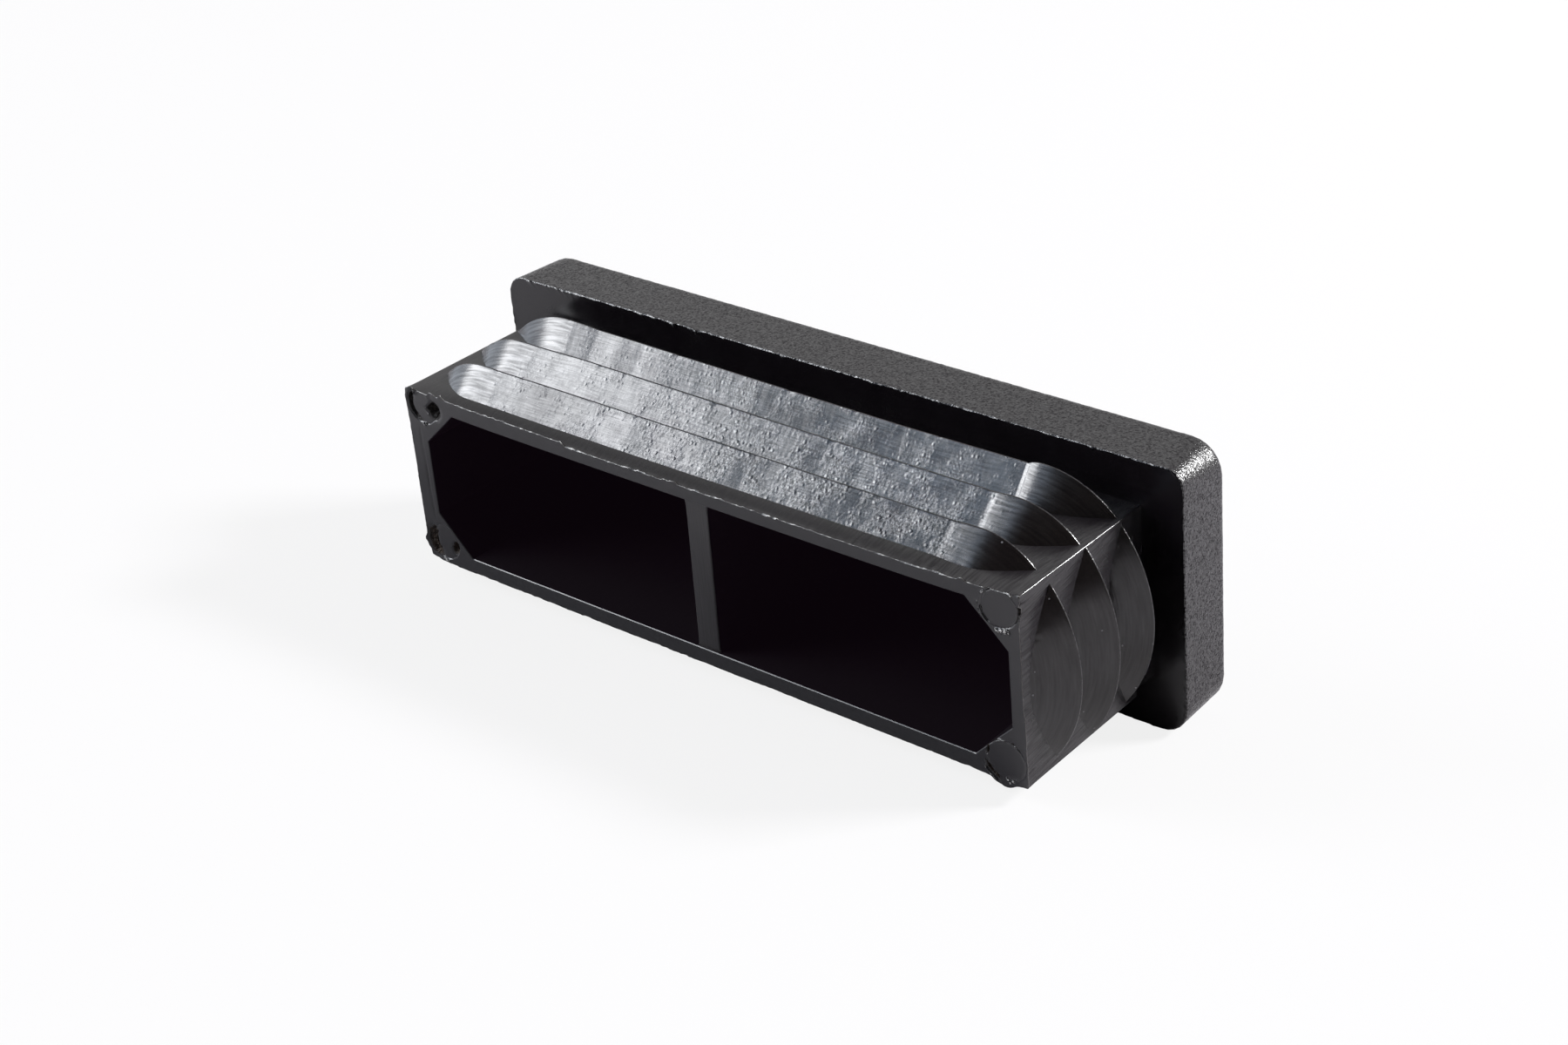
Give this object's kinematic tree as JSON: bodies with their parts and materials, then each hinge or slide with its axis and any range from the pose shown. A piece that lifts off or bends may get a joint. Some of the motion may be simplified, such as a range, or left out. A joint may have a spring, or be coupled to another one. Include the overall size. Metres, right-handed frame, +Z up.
{
  "type": "tube end cap",
  "caption": "Rectangular end cap: a head with rounded edges and a hollow insert with sloping fins all round and a web across its hollow, pressed into the open end of a tube.",
  "frame": {"origin": "middle of the seat, the plane where the end of the tube stops against the back of the head", "axes": "+X along the long side, +Z up along the short side as the cap lies on a long edge, +Y out of the tube through the show face"},
  "size_m": [0.06, 0.0187, 0.02],
  "materials": {
    "black_plastic": "black moulded plastic, satin on the insert, with an eroded grain on the head"
  },
  "bodies": {
    "root": {"end_cap": "black_plastic"}
  },
  "joints": []
}
